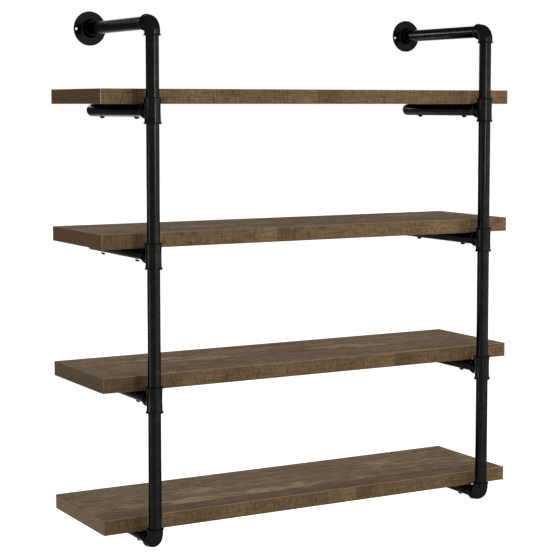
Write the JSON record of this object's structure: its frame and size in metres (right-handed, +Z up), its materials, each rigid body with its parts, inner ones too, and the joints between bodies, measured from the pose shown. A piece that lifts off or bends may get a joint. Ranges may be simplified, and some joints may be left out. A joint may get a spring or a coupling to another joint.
{
  "type": "wall shelf",
  "caption": "Wall-hung shelving with thick wood-look boards carried by black pipe frames with beaded fittings, domed arm ends and round wall flanges.",
  "frame": {"origin": "on the wall plane, midway between the two wall flanges and level with their centres", "axes": "+Z up, +Y into the wall, +X to the right of a person who faces the shelf"},
  "size_m": [1.016, 0.3397, 1.1119],
  "materials": {
    "pipe_black": "satin black powder coat on steel tube",
    "fitting_black": "satin black powder coat over cast iron, slightly uneven",
    "cap_black": "satin black powder coat",
    "bolt_black": "black oxide",
    "board_face": "matt rustic oak laminate over particle board, grey-brown with long streaks",
    "board_edging": "matt rustic oak edging strip with saw marks",
    "insert_zinc": "zinc plated"
  },
  "bodies": {
    "root": {"left_wall_flange": "fitting_black", "left_wall_arm": "pipe_black", "left_top_elbow": "fitting_black", "left_upright_1": "pipe_black", "left_tee_1": "fitting_black", "left_shelf_arm_1": "pipe_black", "left_arm_cap_1": "cap_black", "left_upright_2": "pipe_black", "left_tee_2": "fitting_black", "left_shelf_arm_2": "pipe_black", "left_arm_cap_2": "cap_black", "left_upright_3": "pipe_black", "left_tee_3": "fitting_black", "left_shelf_arm_3": "pipe_black", "left_arm_cap_3": "cap_black", "left_upright_4": "pipe_black", "left_shelf_arm_4": "pipe_black", "left_arm_cap_4": "cap_black", "left_bottom_elbow": "fitting_black", "right_wall_flange": "fitting_black", "right_wall_arm": "pipe_black", "right_top_elbow": "fitting_black", "right_upright_1": "pipe_black", "right_tee_1": "fitting_black", "right_shelf_arm_1": "pipe_black", "right_arm_cap_1": "cap_black", "right_upright_2": "pipe_black", "right_tee_2": "fitting_black", "right_shelf_arm_2": "pipe_black", "right_arm_cap_2": "cap_black", "right_upright_3": "pipe_black", "right_tee_3": "fitting_black", "right_shelf_arm_3": "pipe_black", "right_arm_cap_3": "cap_black", "right_upright_4": "pipe_black", "right_shelf_arm_4": "pipe_black", "right_arm_cap_4": "cap_black", "right_bottom_elbow": "fitting_black", "shelf_board_1": "board_face", "shelf_edging_1": "board_edging", "shelf_bolts_1": "bolt_black", "bolt_inserts_1": "insert_zinc", "shelf_board_2": "board_face", "shelf_edging_2": "board_edging", "shelf_bolts_2": "bolt_black", "bolt_inserts_2": "insert_zinc", "shelf_board_3": "board_face", "shelf_edging_3": "board_edging", "shelf_bolts_3": "bolt_black", "bolt_inserts_3": "insert_zinc", "shelf_board_4": "board_face", "shelf_edging_4": "board_edging", "shelf_bolts_4": "bolt_black", "bolt_inserts_4": "insert_zinc"}
  },
  "joints": []
}
